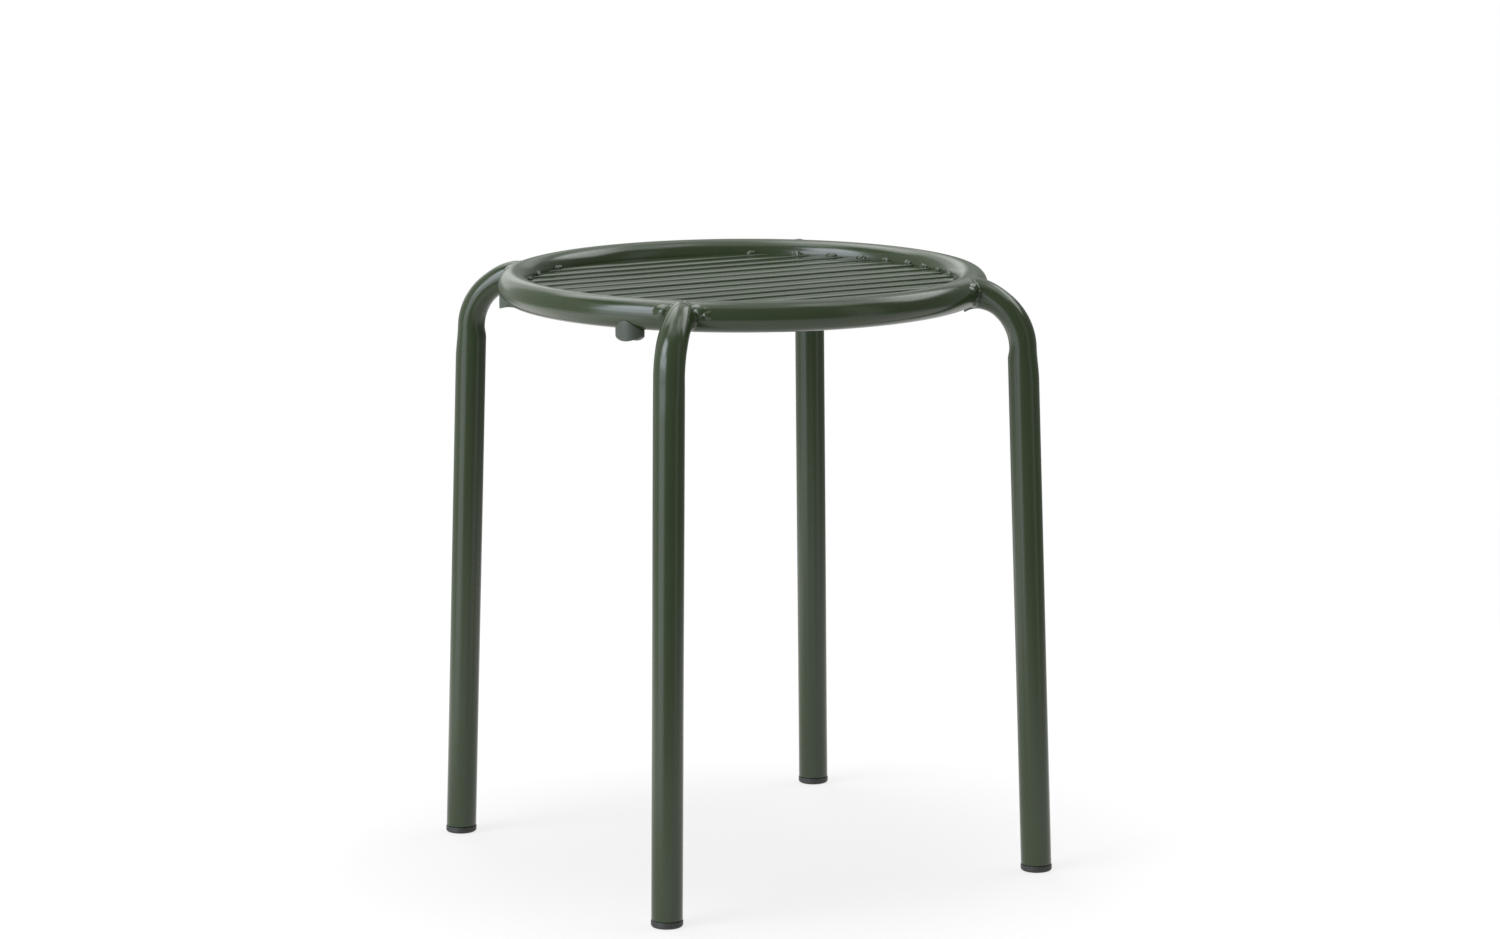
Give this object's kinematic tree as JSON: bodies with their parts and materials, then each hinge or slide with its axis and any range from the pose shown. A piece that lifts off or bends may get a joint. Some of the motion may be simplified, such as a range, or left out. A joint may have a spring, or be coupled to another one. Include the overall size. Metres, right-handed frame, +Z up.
{
  "type": "round backless stool",
  "caption": "Round backless outdoor stool: a steel tube ring with a slatted seat on four bent tube legs, with plastic feet and pads for stacking.",
  "frame": {"origin": "on the floor, under the middle of the seat ring", "axes": "+Z up, +X along the slats; the legs stand 45.85 degrees off the X axis, near the diagonals, so the feet form a rectangle of 319 mm along X by 329 mm along Y"},
  "size_m": [0.3684, 0.3684, 0.45],
  "materials": {
    "green_steel": "satin dark grey-green powder coat with a very fine texture",
    "green_pad_plastic": "matte moulded grey-green plastic",
    "black_foot_plastic": "matte moulded black plastic"
  },
  "bodies": {
    "root": {"seat_ring": "green_steel", "leg_front_left": "green_steel", "leg_front_right": "green_steel", "leg_rear_right": "green_steel", "leg_rear_left": "green_steel", "foot_front_left": "black_foot_plastic", "foot_front_right": "black_foot_plastic", "foot_rear_right": "black_foot_plastic", "foot_rear_left": "black_foot_plastic", "stacking_pad_front_left": "green_pad_plastic", "stacking_pad_front_right": "green_pad_plastic", "stacking_pad_rear_right": "green_pad_plastic", "stacking_pad_rear_left": "green_pad_plastic", "slat_01": "green_steel", "slat_02": "green_steel", "slat_03": "green_steel", "slat_04": "green_steel", "slat_05": "green_steel", "slat_06": "green_steel", "slat_07": "green_steel", "slat_08": "green_steel", "slat_09": "green_steel", "slat_10": "green_steel", "slat_11": "green_steel", "slat_12": "green_steel", "slat_13": "green_steel"}
  },
  "joints": []
}
